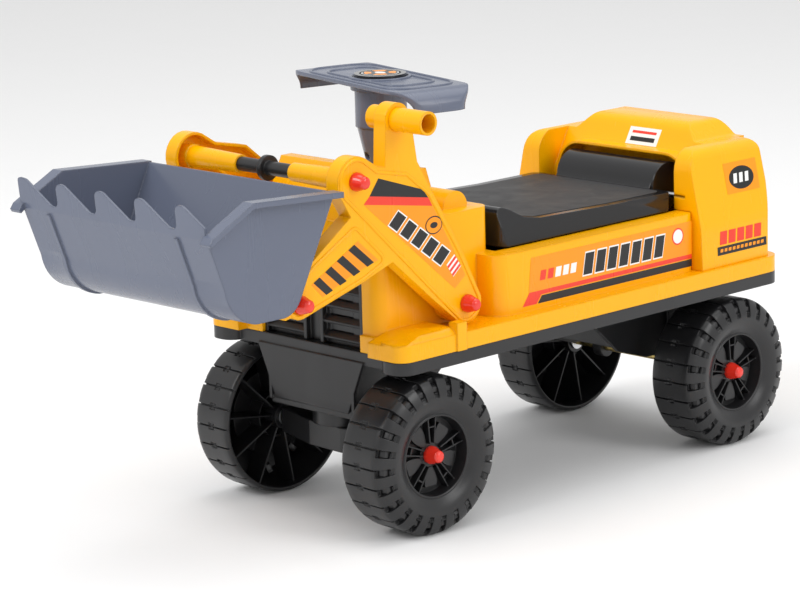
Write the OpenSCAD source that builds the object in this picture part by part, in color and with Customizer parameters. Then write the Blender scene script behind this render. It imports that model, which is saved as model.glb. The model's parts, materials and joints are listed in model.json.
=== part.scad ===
// Ride on digger for a small child: four wheels, steering, a loader worked by
// a hand lever, a tipping bucket and a lid seat over a storage box.
// The front faces -Y, the digger's left is +X, and the wheels stand on z = 0.
// Heights are measured from the ground and lengths from the front axle.

/* [Wheels and axles] */
// Diameter over the tread
wheel_d = 158; // [152:1:160]
// Width of one wheel
wheel_w = 58; // [54:1:60]
// Distance over the outer faces of a pair of wheels
track_outer = 293.4; // [290:0.2:296]
// Distance between the two axles
wheelbase = 444; // [438:1:450]
// Diameter of the steel axles
axle_d = 8; // [7:0.5:8.5]
// Tread bars round one wheel
tread_bars = 24; // [18:1:30]
// Angle at which the front axle is modelled
front_steer = -3; // [-6:1:6]

/* [Deck] */
// Width over the deck
deck_w = 283; // [281:1:286]
// Distance from the front axle to the rear end of the deck
deck_rear = 521; // [518:1:524]
// Distance from the front axle to the front edge of the deck
deck_front = 40; // [38:1:42]
// Height of the deck's underside
deck_z = 165.5; // [165:0.5:167]
// Thickness of the black tray's edge
tray_t = 13; // [11:0.5:14]
// Wall thickness of the moulded shells
wall = 3; // [2.5:0.25:3.5]

/* [Body] */
// Width over the two sills
sill_w = 250; // [244:2:254]
// Height of the sills' top
sill_z = 257; // [254:1:257]
// Width of the front block
block_w = 192; // [188:1:193]
// Height of the front block
block_z = 303; // [298:1:305]
// Height of the cowl's ridge
cowl_z = 354; // [348:1:355]
// Height of the rear cab's pillars
pillar_z = 321; // [318:1:324]
// Height of the rear hood
hood_z = 339; // [336:1:342]

/* [Seat] */
// Height of the seat's top
seat_z = 279; // [277:1:281]
// Width of the seat
seat_w = 208; // [204:1:208]

/* [Steering] */
// Distance of the steering column behind the front axle
column_y = 65; // [64:1:66]
// Height of the horn button's top
horn_z = 434; // [432:1:436]
// Width of the steering wheel
steer_w = 230; // [216:2:234]
// Depth of the steering wheel
steer_d = 88; // [84:1:90]
// Angle at which the steering wheel is modelled
wheel_turn = -13; // [-20:1:0]

/* [Loader] */
// Inner face of each arm
arm_x = 108; // [107:0.5:109]
// Thickness of each arm
arm_t = 16; // [14:1:17]
// Height of the arms' pivot
pivot_z = 218.5; // [218:0.5:220]
// Width inside the bucket's side walls
bucket_w = 264; // [262:1:268]

/* [Hidden] */
$fn = 64;

// The whole model is shifted so that its origin is below its middle. The grip
// tube stands out on the left, so the wheels' middle lies a little to the right.
front_axle_y = -116;
middle_x = -8.2;

wheel_r = wheel_d / 2;
wheel_x = track_outer / 2 - wheel_w;
axle_r = axle_d / 2;
run_fit = 0.08;
tray_top = deck_z + tray_t;
deck_top = tray_top + 17;
half_w = deck_w / 2;
sill_x = sill_w / 2;
block_x = block_w / 2;
block_rear = 120;
arm_out = arm_x + arm_t;
pivot = [55, pivot_z];
upper_pin = [-89, 360];
front_pin = [-165, 254.5];
pin_r = 4;
lever_r = 28;
cap_r = 9;
cap_len = 16;
hub_r = 13;

// ---- helpers -------------------------------------------------------------

module from_axle() translate([middle_x, front_axle_y, 0]) children();

// Draws [y, z] outlines and extrudes them from x to x + t.
module side_on(x, t) translate([x, 0, 0]) rotate([90, 0, 90]) linear_extrude(t) children();

// Draws [x, z] outlines and extrudes them from y to y + t.
module end_on(y, t) translate([0, y + t, 0]) rotate([90, 0, 0]) linear_extrude(t) children();

// A bar or bore along X, centred on x = 0 or starting at x.
module x_bar(len, r, y, z) translate([0, y, z]) rotate([0, 90, 0]) cylinder(h = len, r = r, center = true);
module x_rod(x, len, r, y, z) translate([x, y, z]) rotate([0, 90, 0]) cylinder(h = len, r = r);

module both_sides() {
  children();
  mirror([1, 0, 0]) children();
}

// A rectangle from corner a to corner b with true round corners.
module round_rect(a, b, r) {
  translate([a.x + r, a.y]) square([b.x - a.x - 2 * r, b.y - a.y]);
  translate([a.x, a.y + r]) square([b.x - a.x, b.y - a.y - 2 * r]);
  for (x = [a.x + r, b.x - r], y = [a.y + r, b.y - r]) translate([x, y]) circle(r);
}

function on_circle(c, r, a) = c + r * [cos(a), sin(a)];
function arc(c, r, a0, a1, n = 8) = [for (i = [0:n]) on_circle(c, r, a0 + (a1 - a0) * i / n)];

// A closed outline whose corners are arcs of the given radii (0 keeps a corner).
function unit(v) = v / norm(v);
function corner(a, b, c, r, n = 6) =
  let (u = unit(a - b), v = unit(c - b), half = acos(u * v) / 2, turn = 180 - 2 * half)
  let (m = b + unit(u + v) * r / sin(half), s = b + u * r / tan(half) - m, e = b + v * r / tan(half) - m)
  [for (i = [0:n]) m + (sin((1 - i / n) * turn) * s + sin(i / n * turn) * e) / sin(turn)];
function rounded(p, radii) = let (n = len(p)) [for (i = [0:n - 1])
  each (radii[i] > 0 ? corner(p[(i + n - 1) % n], p[i], p[(i + 1) % n], radii[i]) : [p[i]])];

// A red push-on cap along +X: a flange, a tapering body and a round nose.
module red_cap(x, y, z) {
  nose = 5;
  difference() {
    translate([x, y, z]) rotate([0, 90, 0]) rotate_extrude() polygon(concat(
      [[0, 0], [cap_r, 0], [cap_r, 3], [nose + 1.5, cap_len - nose]],
      arc([nose - 3, cap_len - nose], 4.5, 0, 90, 5), [[0, cap_len - 0.5]]));
    x_rod(x - 1, cap_len - 4, axle_r, y, z);
  }
}

// ---- chassis -------------------------------------------------------------

module deck_outline(grow) {
  round_rect([-half_w - grow, -deck_front - grow], [half_w + grow, deck_rear + grow], 22);
  both_sides() round_rect([104, -52 - grow], [half_w + grow, 60], 16);
}

module housing_outline() polygon([[-42, deck_z + 1], [-42, 112], [40, 114], [75, 135], [110, deck_z + 1]]);

module carrier_outline() polygon([[285, deck_z + 1], [352, 105], [396, 91], [456, 91], [500, deck_z + 1]]);

skirt = [[-76, deck_z + 3], [-53, 114], [53, 114], [76, deck_z + 3]];

module chassis() color("#2b2b2d") from_axle() difference() {
  union() {
    translate([0, 0, deck_z]) linear_extrude(tray_t) deck_outline(0);
    end_on(-42, 4) polygon(skirt);
    both_sides() side_on(58, 4) housing_outline();
    both_sides() side_on(50, 5) carrier_outline();
    end_on(352, 4) polygon([[-55, deck_z + 1], [-55, 108], [55, 108], [55, deck_z + 1]]);
    translate([-60, -40, 108]) cube([120, 70, 8]);
    translate([0, 0, 116]) cylinder(h = 3, r = 20);
    translate([0, column_y, deck_z - 8]) cylinder(h = 10, r = 16);
    both_sides() x_rod(45, 12, 11, wheelbase, wheel_r);
    both_sides() side_on(45, 12) polygon([[wheelbase - 11, wheel_r], [wheelbase + 11, wheel_r],
      [wheelbase + 16, deck_z + 1], [wheelbase - 16, deck_z + 1]]);
  }
  translate([0, 0, 100]) cylinder(h = 30, r = 11 + run_fit);
  translate([0, column_y, deck_z - 20]) cylinder(h = 60, r = 9);
  x_bar(200, axle_r, wheelbase, wheel_r);
  // a shallow recess keeps the tray light and leaves a rim for the body
  translate([0, 0, tray_top - 9]) linear_extrude(20) difference() {
    round_rect([-90, 95], [90, deck_rear - 40], 16);
    translate([-95, wheelbase - 20]) square([190, 40]);
  }
  for (p = concat(screw_places, cab_places)) translate([p.x, p.y, deck_z - 1]) {
    cylinder(h = tray_t + 2, r = screw_r);
    cylinder(h = 1 + head_t + 0.3, r = head_r + 0.2);
  }
}

// Screws that join the tray to the body and the cab. Their heads are sunk in the
// tray's underside, so that it stays flat.
screw_places = [[-128, 0], [128, 0], [-128, 250], [128, 250], [-128, 505], [128, 505]];
cab_places = [[-110, 480], [110, 480]];
screw_r = 2;
head_r = 4;
head_t = 2.5;
screw_len = tray_t + 10;

module screw(p, len) translate([p.x, p.y, deck_z]) {
  translate([0, 0, 0.3]) cylinder(h = head_t, r = head_r);
  translate([0, 0, 0.3]) cylinder(h = len - 0.3, r = screw_r);
}

module shell_screws() color("#b9bcc0") from_axle() for (p = screw_places) screw(p, screw_len);
module cab_screws() color("#b9bcc0") from_axle() for (p = cab_places) screw(p, screw_len + 4);

// ---- yellow body ---------------------------------------------------------

// The sills run from the front block to the rear cab.
module sill_outline(inset) round_rect([-sill_x + inset, 98 + inset], [sill_x - inset, 402], 20 - inset);

// Side views of the cowl's ridge and of the column's seat behind it.
ridge_side = [[-34, block_z - 1], [-8, cowl_z], [6, cowl_z], [34, block_z - 1]];
ridge_hollow = [[-29, block_z - 20], [-5, cowl_z - 4], [2, cowl_z - 4], [27, block_z], [27, block_z - 20]];
seat_side = [[-20, block_z - 1], [0, cowl_z - 14], [92, cowl_z - 16], [104, block_z - 1]];
seat_hollow = [[5, block_z - 20], [5, cowl_z - 19], [89, cowl_z - 21], [102, block_z - 20]];

fender_side = [[-52, tray_top], [-52, deck_top - 2], [-22, deck_top + 6], [24, deck_top + 6],
  [36, deck_top], [60, deck_top - 0.5], [60, tray_top]];

module fender() intersection() {
  side_on(94, half_w - 94) polygon(fender_side);
  translate([0, 0, tray_top]) linear_extrude(40) round_rect([60, -52], [half_w, 90], 15);
  end_on(-60, 140) round_rect([60, tray_top - 20], [half_w, deck_top + 7], 12);
}

module body_outer() {
  translate([0, 0, tray_top]) linear_extrude(deck_top - tray_top) deck_outline(0);
  translate([0, 0, tray_top]) linear_extrude(sill_z - tray_top) sill_outline(0);
  translate([0, 0, tray_top]) linear_extrude(block_z - tray_top)
    round_rect([-block_x, -36], [block_x, block_rear], 14);
  side_on(-70, 140) polygon(ridge_side);
  side_on(-34, 68) polygon(seat_side);
  both_sides() fender();
  both_sides() translate([half_w - 10, 22, tray_top]) cube([12, 13, 28]);
  x_bar(156, 17, 88, block_z);
  // pads that carry the arm pivots
  both_sides() x_rod(block_x - 8, 8.5, 19, pivot.x, pivot.y);
}

module body_hollow() {
  translate([0, 0, tray_top - 1]) linear_extrude(sill_z - tray_top - 19) sill_outline(wall);
  translate([0, 0, tray_top - 1]) linear_extrude(block_z - tray_top - wall)
    round_rect([-block_x + wall, -36 + 12], [block_x - wall, block_rear - wall], 11);
  side_on(-67, 134) polygon(ridge_hollow);
  side_on(-31, 62) polygon(seat_hollow);
  x_bar(150, 14, 88, block_z);
}

// The well between the sills. Its ledge carries the storage box's flange.
well_half = 97.5;
ledge_z = sill_z - 6;

module seat_well() {
  translate([-well_half, 123, sill_z - 64]) cube([2 * well_half, 288, 80]);
  translate([-100, block_rear + 1, ledge_z]) cube([200, 290, 30]);
}

grille_half = 71;
grille_top = 286;

module body_shell() color("#ffc000") from_axle() difference() {
  union() {
    difference() {
      body_outer();
      body_hollow();
    }
    // bosses for the pivot pins inside the side walls
    both_sides() x_rod(block_x - 24, 24, 10, pivot.x, pivot.y);
    both_sides() translate([block_x - 26, pivot.x - 8, tray_top]) cube([6, 16, pivot_z - tray_top]);
    for (p = screw_places) translate([p.x, p.y, tray_top]) cylinder(h = 14, r = 5);
  }
  seat_well();
  translate([-100, 404, tray_top - 1]) cube([200, 100, 40]);
  translate([-grille_half, -40, tray_top - 1]) cube([2 * grille_half, 13, grille_top - tray_top + 1]);
  translate([0, column_y, cowl_z - 40]) cylinder(h = 60, r = 9);
  both_sides() x_rod(60, 60, pin_r, pivot.x, pivot.y);
  for (p = screw_places) translate([p.x, p.y, tray_top - 1]) cylinder(h = 12, r = 2);
  for (p = cab_places) translate([p.x, p.y, tray_top - 1]) cylinder(h = 30, r = 6.3);
}

// A louvred insert: a back plate, side columns and sloping slats.
module front_grille() color("#1d1d1f") from_axle() {
  difference() {
    translate([-grille_half, -30, tray_top]) cube([2 * grille_half, 3, grille_top - tray_top]);
    for (x = [-52, 20]) translate([x, -31, tray_top + 12]) cube([32, 2.2, 80]);
  }
  for (x = [-grille_half, -14, 10, grille_half - 4]) translate([x, -36, tray_top]) cube([4, 6.5, 106]);
  for (z = [tray_top + 8:16:grille_top - 12], s = [-1, 1])
    side_on(s > 0 ? 14 : -67, 53) polygon([[-29.5, z + 6], [-35, z], [-35, z - 2.5], [-29.5, z + 2]]);
}

// ---- rear cab ------------------------------------------------------------

cab_front = 395;
cab_rear = 511;

// End view of the cab: leaning sides, rounded pillar tops and a raised hood.
function cab_end(s, d) = rounded([[-137 + s, tray_top - d], [-134 + s, 240], [-116 + s, pillar_z - s],
  [-84 + s, pillar_z - s], [-66 + s, hood_z - s], [66 - s, hood_z - s], [84 - s, pillar_z - s],
  [116 - s, pillar_z - s], [134 - s, 240], [137 - s, tray_top - d]],
  [0, 60, 14 - s, 8 + s, 14 - s, 14 - s, 8 + s, 14 - s, 60, 0]);

// Side views: the pillars stand in front, the hood's face leans back.
cab_foot = tray_top - 5;
cab_back = cab_rear + 1;
pillar_side = rounded([[cab_front, cab_foot], [cab_front, pillar_z + 1], [cab_back - 3, pillar_z + 1],
  [cab_back, 200], [cab_back, cab_foot]], [0, 24, 16, 0, 0]);
hood_side = rounded([[419, cab_foot], [419, 280], [454, hood_z + 1], [cab_back - 3, hood_z + 1],
  [cab_back, 200], [cab_back, cab_foot]], [0, 20, 22, 18, 0, 0]);
pillar_hollow = rounded([[cab_front + wall, tray_top - 10], [cab_front + wall, pillar_z - wall],
  [cab_back - 6, pillar_z - wall], [cab_back - wall, 200], [cab_back - wall, tray_top - 10]],
  [0, 21, 13, 0, 0]);
hood_hollow = rounded([[423, tray_top - 10], [423, 280], [457, hood_z - wall], [cab_back - 6, hood_z - wall],
  [cab_back - wall, 200], [cab_back - wall, tray_top - 10]], [0, 20, 19, 15, 0, 0]);

// The arch that takes the back of the seat.
arch_r = 28;
arch_line = concat(arc([-62, 280], arch_r, 180, 90), arc([62, 280], arch_r, 90, 0));
arch = concat([[-90, 200]], arch_line, [[90, 200]]);
arch_wall = concat([[-93, 200]], arc([-62, 280], arch_r + wall, 180, 90),
  arc([62, 280], arch_r + wall, 90, 0), [[93, 200]]);

module cab_solid(s, pillars, hood) intersection() {
  end_on(380, 150) polygon(cab_end(s, s > 0 ? 6 : 0));
  translate([0, 0, tray_top - 20]) linear_extrude(200)
    round_rect([-137 + s, 370], [137 - s, cab_rear - s], 16 - s);
  union() {
    both_sides() side_on(97 + s, 45) polygon(pillars);
    side_on(-97 - s, 194 + 2 * s) polygon(hood);
  }
}

boss_r = 6;
hinge_y = 398;
hinge_z = 272;

module rear_cab() color("#ffc000") from_axle() difference() {
  union() {
    difference() {
      cab_solid(0, pillar_side, hood_side);
      cab_solid(wall, pillar_hollow, hood_hollow);
    }
    // the walls of the cave behind the arch
    difference() {
      end_on(420, 32) polygon(arch_wall);
      end_on(410, 39) polygon(arch);
    }
    both_sides() translate([97, cab_front, hinge_z - 9]) cube([14, 13, 18]);
    // screw bosses, each tied to the side wall by a web
    for (p = cab_places) translate([p.x, p.y, tray_top]) cylinder(h = 38, r = boss_r);
    both_sides() translate([110, 478.5, deck_top]) cube([24, 3, 21]);
  }
  end_on(410, 39) polygon(arch);
  x_bar(224, 3, hinge_y, hinge_z);
  translate([-200, 380, tray_top - 10]) cube([400, 200, 10]);
  // the cab stands round the rear end of the sills
  translate([0, 0, tray_top - 1]) linear_extrude(sill_z - tray_top + 1.3) sill_outline(-0.3);
  difference() {
    translate([-300, 380, tray_top - 1]) cube([600, 200, deck_top - tray_top + 1]);
    for (p = cab_places) translate([p.x, p.y, 0]) cylinder(h = 400, r = boss_r);
  }
  for (p = cab_places) translate([p.x, p.y, tray_top - 1]) cylinder(h = 16, r = 2);
}

module storage_box() color("#2b2b2d") from_axle() difference() {
  union() {
    translate([0, 0, sill_z - 64]) linear_extrude(60) round_rect([-96, 124], [96, 368], 8);
    translate([0, 0, ledge_z]) linear_extrude(2.5) round_rect([-99, 122], [99, 371], 10);
  }
  translate([0, 0, sill_z - 64 + wall]) linear_extrude(80) round_rect([-93, 127], [93, 365], 5);
}

// ---- seat ----------------------------------------------------------------

lid_z = sill_z + 1.5;
seat_front = 131;
lid_side = concat([[seat_front, lid_z], [seat_front, 285]], arc([seat_front + 8, 289], 8, 180, 70, 5),
  [[seat_front + 20, 293], [seat_front + 36, 284], [190, seat_z + 1], [300, seat_z - 2],
   [395, seat_z - 2], [395, lid_z]]);
lid_hollow = [[seat_front + wall, lid_z - 5], [seat_front + wall, 286], [seat_front + 9, 293],
  [seat_front + 17, 291], [seat_front + 35, 281], [190, seat_z - 2.5], [300, seat_z - 5.5],
  [393, seat_z - 5.5], [393, lid_z - 5]];
roll = [418, 277];
roll_r = 25;

module lid_shape(inset, outline) intersection() {
  side_on(-seat_w / 2, seat_w) polygon(outline);
  end_on(100, 320) polygon([[-seat_w / 2 + inset, lid_z - 6], [-seat_w / 2 + 6 + inset, seat_z],
    [-seat_w / 2 + 14 + inset, 300], [seat_w / 2 - 14 - inset, 300], [seat_w / 2 - 6 - inset, seat_z],
    [seat_w / 2 - inset, lid_z - 6]]);
  translate([0, 0, lid_z - 6]) linear_extrude(60)
    round_rect([-seat_w / 2 + inset, seat_front - 0.1 + inset], [seat_w / 2 - inset, 450], 12 - inset);
  translate([0, 0, lid_z - 6]) linear_extrude(60)
    round_rect([-seat_w / 2 + inset, 80], [seat_w / 2 - inset, 391 - inset], 20 - inset);
}

module seat_lid() color("#222224") from_axle() difference() {
  union() {
    difference() {
      lid_shape(0, lid_side);
      lid_shape(wall, lid_hollow);
    }
    difference() {
      x_bar(138, roll_r, roll.x, roll.y);
      x_bar(132, roll_r - wall, roll.x, roll.y);
    }
    // a web with a rib at each end carries the hinge and the roll
    side_on(-67, 134) polygon([[389, 263], [389, 276.5], [396, 286], [404, 286], [404, 263]]);
    both_sides() side_on(57, 10) polygon([[401, 262], [401, 285], [424, 285], [424, 262]]);
  }
  x_bar(150, 3 + run_fit, hinge_y, hinge_z);
}

module seat_hinge_pin() color("#c9ccd0") from_axle() x_bar(220, 3, hinge_y, hinge_z);

// ---- wheels --------------------------------------------------------------

// Half section of a wheel as [radius, distance from the inner face].
function tyre_section(r, w) = [[r - 3, 0], [r - 2.4, 4], [r - 2.4, w - 8], [r - 6, w - 0.8], [r - 19, w],
  [r - 32, w - 2], [r - 39.6, w - 7], [r - 39.6, w - 21], [hub_r, w - 21], [hub_r, w - 16],
  [axle_r + run_fit, w - 16], [axle_r + run_fit, 3], [hub_r, 3], [hub_r, w - 24.5], [r - 36, w - 24.5],
  [r - 36, w - 9], [r - 30, w - 5], [r - 19, w - 3.2], [r - 8, w - 4], [r - 5.5, w - 8.5], [r - 5.5, 0]];

// The tread: a ring of bars with a groove between each pair.
module tread() translate([0, 0, 2]) linear_extrude(wheel_w - 8) difference() {
  circle(wheel_r, $fn = 96);
  circle(wheel_r - 4, $fn = 96);
  for (i = [0:tread_bars - 1]) rotate(i * 360 / tread_bars + 4)
    translate([wheel_r - 2.4, -1.2]) square([6, 2.4]);
}

module wheel() color("#1c1c1e") union() {
  rotate_extrude($fn = 96) polygon(tyre_section(wheel_r, wheel_w));
  tread();
  difference() {
    for (i = [0:4]) rotate([0, 0, i * 36 + 7])
      translate([3 - wheel_r, -1, 9]) cube([2 * wheel_r - 6, 2, wheel_w - 32]);
    translate([0, 0, -1]) cylinder(h = 100, r = hub_r - 2);
    translate([0, 0, wheel_w - 23]) cylinder(h = 100, r = 42);
  }
  for (i = [0:4], s = [-1, 1]) rotate([0, 0, i * 72 + 90])
    translate([hub_r - 1, s * 4 - 0.8, wheel_w - 22]) cube([27.5, 1.6, 5]);
}

module left_wheel(y) translate([wheel_x, y, wheel_r]) rotate([0, 90, 0]) wheel();
module right_wheel(y) translate([-wheel_x, y, wheel_r]) rotate([0, -90, 0]) wheel();

module wheel_rear_left() from_axle() left_wheel(wheelbase);
module wheel_rear_right() from_axle() right_wheel(wheelbase);
module wheel_front_left() from_axle() steered() left_wheel(0);
module wheel_front_right() from_axle() steered() right_wheel(0);

cap_x = wheel_x + wheel_w - 15.5;
washer_x = wheel_x + 0.6;

module axle() x_bar(2 * cap_x + 2 * cap_len - 10, axle_r, 0, 0);

module washer_pair(y) both_sides() difference() {
  x_rod(washer_x, 1.8, 9, y, wheel_r);
  x_rod(washer_x - 1, 4, axle_r, y, wheel_r);
}

module rear_axle() color("#d6b85a") from_axle() translate([0, wheelbase, wheel_r]) axle();
module rear_axle_washers() color("#b9bcc0") from_axle() washer_pair(wheelbase);
module rear_hub_caps() color("#e8321e") from_axle() both_sides() red_cap(cap_x, wheelbase, wheel_r);

// ---- front axle ----------------------------------------------------------

module steered() rotate([0, 0, front_steer]) children();

block_plan = [[-86, -9], [-86, 9], [-24, 24], [24, 24], [86, 9], [86, -9], [24, -24], [-24, -24]];
lever_z = 132;

module lever(t) {
  translate([lever_r, 0, 0]) cylinder(h = t, r = 7);
  translate([0, -7, 0]) cube([lever_r, 14, t]);
}

module front_axle_block() color("#2b2b2d") from_axle() steered() difference() {
  union() {
    translate([0, 0, 66]) linear_extrude(25) polygon(block_plan);
    translate([0, 0, 91]) cylinder(h = 16, r = 30);
    translate([0, 0, 107]) cylinder(h = 46, r = 11);
    translate([0, 0, lever_z]) lever(6);
    translate([lever_r, 0, lever_z + 6]) cylinder(h = 9, r = 3);
  }
  x_bar(200, axle_r, 0, wheel_r);
}

module front_axle() color("#d6b85a") from_axle() steered() translate([0, 0, wheel_r]) axle();
module front_axle_washers() color("#b9bcc0") from_axle() steered() washer_pair(0);
module front_hub_caps() color("#e8321e") from_axle() steered() both_sides() red_cap(cap_x, 0, wheel_r);

module ring(z, h, r_out, r_in) translate([0, 0, z]) difference() {
  cylinder(h = h, r = r_out);
  translate([0, 0, -1]) cylinder(h = h + 2, r = r_in);
}

module pivot_collar() color("#b9bcc0") from_axle() steered() ring(119.6, 4, 18, 11);

// ---- steering ------------------------------------------------------------

shaft_r = 5;
link_z = lever_z + 7;
clip_z = link_z + 5;

module at_column() translate([0, column_y, 0]) children();

module link_clip() steered() translate([lever_r, 0, 0]) ring(clip_z, 1.5, 5.5, 3);
module front_link_clip() color("#b9bcc0") from_axle() link_clip();
module rear_link_clip() color("#b9bcc0") from_axle() at_column() link_clip();

module drop_arm() color("#2b2b2d") from_axle() at_column() steered() difference() {
  union() {
    translate([0, 0, lever_z]) lever(6);
    translate([0, 0, lever_z - 4]) cylinder(h = 14, r = 11);
    translate([lever_r, 0, lever_z + 6]) cylinder(h = 9, r = 3);
  }
  translate([0, 0, lever_z - 6]) cylinder(h = 20, r = 5);
}

// A plain bar that stays parallel to the digger's middle while both levers turn.
module steering_link() color("#b9bcc0") from_axle() rotate_lever() difference() {
  union() {
    translate([-5, 0, link_z]) cube([10, column_y, 4]);
    for (y = [0, column_y]) translate([0, y, link_z]) cylinder(h = 4, r = 7);
  }
  translate([0, column_y, link_z - 1]) cylinder(h = 6, r = 3 + run_fit);
  translate([0, 0, link_z - 1]) cylinder(h = 6, r = 3.4);
}

module rotate_lever() translate([lever_r * cos(front_steer), lever_r * sin(front_steer), 0]) children();

module steering_shaft() color("#c9ccd0") from_axle() at_column()
  translate([0, 0, 126]) cylinder(h = 252, r = shaft_r);

module bush(z, h) at_column() ring(z, h, 9, shaft_r + run_fit);
module column_bush_lower() color("#e9e9e4") from_axle() bush(deck_z - 8, 10);
module column_bush_upper() color("#e9e9e4") from_axle() bush(cowl_z - 19.5, 4.5);

module turned() rotate([0, 0, wheel_turn]) children();

column_foot = cowl_z - 13;
column_step = 381;
wheel_floor = horn_z - 16;
screw_z = 352;

module steering_column() color("#67707f") from_axle() at_column() turned() difference() {
  rotate_extrude() polygon([[5, column_foot], [15.5, column_foot], [24.5, column_step], [26, column_step],
    [26, wheel_floor], [22, wheel_floor], [22, 387], [5, 387]]);
  translate([0, -30, screw_z]) rotate([-90, 0, 0]) cylinder(h = 20, r = 4.2);
  translate([0, -30, screw_z]) rotate([-90, 0, 0]) cylinder(h = 25, r = 1.8);
}

module column_screw() color("#c9a24a") from_axle() at_column() turned() translate([0, -13, screw_z])
  rotate([-90, 0, 0]) {
    cylinder(h = 3, r = 4);
    cylinder(h = 8, r = 1.8);
  }

// Front view of the wheel: a flat middle whose ends roll down into grips.
wheel_rim = horn_z - 4;
grip_c = [steer_w / 2 - 20, wheel_rim - 20];
function grip_line(r) = concat([[0, grip_c.y + r]], arc(grip_c, r, 90, 0), [[grip_c.x + r, grip_c.y - 2]]);
function reversed(v) = [for (i = [len(v) - 1:-1:0]) v[i]];

module grip_half() polygon(concat(grip_line(20), reversed(grip_line(16))));

module steering_wheel() color("#67707f") from_axle() at_column() turned() difference() {
  union() {
    intersection() {
      end_on(-steer_d / 2, steer_d) {
        grip_half();
        mirror([1, 0]) grip_half();
      }
      translate([0, 0, 300]) linear_extrude(200)
        round_rect([-steer_w / 2, -steer_d / 2], [steer_w / 2, steer_d / 2], 30);
    }
    translate([0, 0, wheel_floor]) cylinder(h = horn_z - 6 - wheel_floor, r = 30);
  }
  // the sunk panels on each side of the hub
  translate([0, 0, wheel_floor + 3]) cylinder(h = 20, r = 26.4);
  translate([0, 0, wheel_floor - 1]) cylinder(h = 10, r = 5 + run_fit);
}

module horn_button() color("#18181a") from_axle() at_column() turned() difference() {
  union() {
    translate([0, 0, horn_z - 8.5]) cylinder(h = 8.5, r = 26);
    translate([0, 0, wheel_floor - 3]) cylinder(h = 14, r = 5);
  }
  ring(horn_z - 1.2, 3, 21, 19);
}

module horn_sounder() color("#d9d9d2") from_axle() at_column() turned() difference() {
  translate([0, 0, 387]) cylinder(h = wheel_floor - 7.5 - 387, r = 21.9);
  translate([0, 0, 386]) cylinder(h = 20, r = 17);
}

// ---- loader --------------------------------------------------------------

module post_head() translate([-33, 412]) circle(16);

// Side view of one arm: from the pivot up over the elbow and down to the bucket.
arm_line = concat(
  arc([pivot.x, pivot.y], 20.5, -125, 12, 10),
  [[50, 272], [10, 338], [-20, 362], [-60, 370]],
  arc(upper_pin, 24, 62, 215, 10),
  [[-97, 327], [-147, 293], [-158, 284], [-170, 276], [-182, 263], [-190, 252], [-189, 246], [-184, 242.5]],
  arc(front_pin, 14.5, 225, 285, 4),
  [[-84, 262], [-44, 275.5], [7, 231.5]]);
post_line = [[-51, 362], [-49, 405], [-48, 418], [-17, 418], [-13, 398], [-8, 368], [10, 338], [-30, 340]];

module arm_outline(with_post) {
  polygon(arm_line);
  if (with_post) {
    polygon(post_line);
    post_head();
  }
}

module arm_rib(p, a, len) side_on(arm_x, arm_t - 1) translate(p) rotate(a) square([3, len], center = true);

module barrel(p, r, x_in) x_rod(x_in, arm_out - 2 - x_in, r, p.x, p.y);

// One arm: an outer skin, a rim, barrels for the pins and diagonal ribs.
module arm(with_post) difference() {
  union() {
    difference() {
      side_on(arm_x, arm_t) arm_outline(with_post);
      side_on(arm_x - 1, arm_t - wall + 1) offset(delta = -wall) arm_outline(with_post);
    }
    barrel(pivot, 20, block_x + 1.3);
    barrel(upper_pin, 12, arm_x);
    barrel(front_pin, 11, arm_x);
    intersection() {
      side_on(arm_x, arm_t - 1) arm_outline(with_post);
      union() {
        for (p = [[20, 244], [0, 268], [-40, 330]]) arm_rib(p, 55, 90);
        for (p = [[-90, 300], [-125, 278]]) arm_rib(p, 25, 70);
      }
    }
    // tapering stub that carries the crossbar
    translate([38, upper_pin.x, upper_pin.y]) rotate([0, 90, 0]) cylinder(h = arm_x - 36, r1 = 9, r2 = 11);
  }
  x_rod(30, 100, pin_r, upper_pin.x, upper_pin.y);
  x_rod(60, 100, pin_r, front_pin.x, front_pin.y);
  x_rod(60, 100, pin_r + run_fit, pivot.x, pivot.y);
  if (with_post) x_rod(60, 100, 11.5, -33, 412);
}

module left_arm() color("#ffc000") from_axle() arm(true);
module right_arm() color("#ffc000") from_axle() mirror([1, 0, 0]) arm(false);

tube_x = 92;

module grip_tube() color("#ffc000") from_axle() difference() {
  x_rod(tube_x, 166 - tube_x, 11.5, -33, 412);
  x_rod(tube_x + 4, 90, 9, -33, 412);
}

module crossbar_sleeve() color("#1c1c1e") from_axle() difference() {
  union() {
    x_bar(76, 7, upper_pin.x, upper_pin.y);
    x_bar(5, 12.5, upper_pin.x, upper_pin.y);
  }
  x_bar(80, pin_r, upper_pin.x, upper_pin.y);
}

pin_end = arm_out + 10;

module crossbar_rod() color("#c9ccd0") from_axle() x_bar(2 * pin_end, pin_r, upper_pin.x, upper_pin.y);
module crossbar_caps() color("#e8321e") from_axle() cap_pair(arm_out, upper_pin);
module pin_pair(x, end, p) both_sides() x_rod(x, end - x, pin_r, p.x, p.y);
module cap_pair(x, p) both_sides() red_cap(x, p.x, p.y);
module bucket_pins() color("#c9ccd0") from_axle() pin_pair(94, pin_end, front_pin);
module bucket_pin_caps() color("#e8321e") from_axle() cap_pair(arm_out, front_pin);
module pivot_pins() color("#c9ccd0") from_axle() pin_pair(74, pin_end + 0.5, pivot);
module pivot_caps() color("#e8321e") from_axle() cap_pair(arm_out + 0.5, pivot);

// ---- bucket --------------------------------------------------------------

// Side view of the bucket, from the lip down round the floor and up the back.
function scoop(d) = concat(
  [[-288 + d, 366], [-284 + d, 335], [-268 + d, 292]],
  arc([-222, 292], 44 - d, 188, 262, 12),
  arc([-196, 274], 26 - d, 275, 330, 6),
  [[-132 - d, 344], [-126 - d, 357]]);

bucket_x = bucket_w / 2;

module scoop_wall() polygon(concat(scoop(0), reversed(scoop(2.6))));
module scoop_side() polygon(scoop(0));

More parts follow.
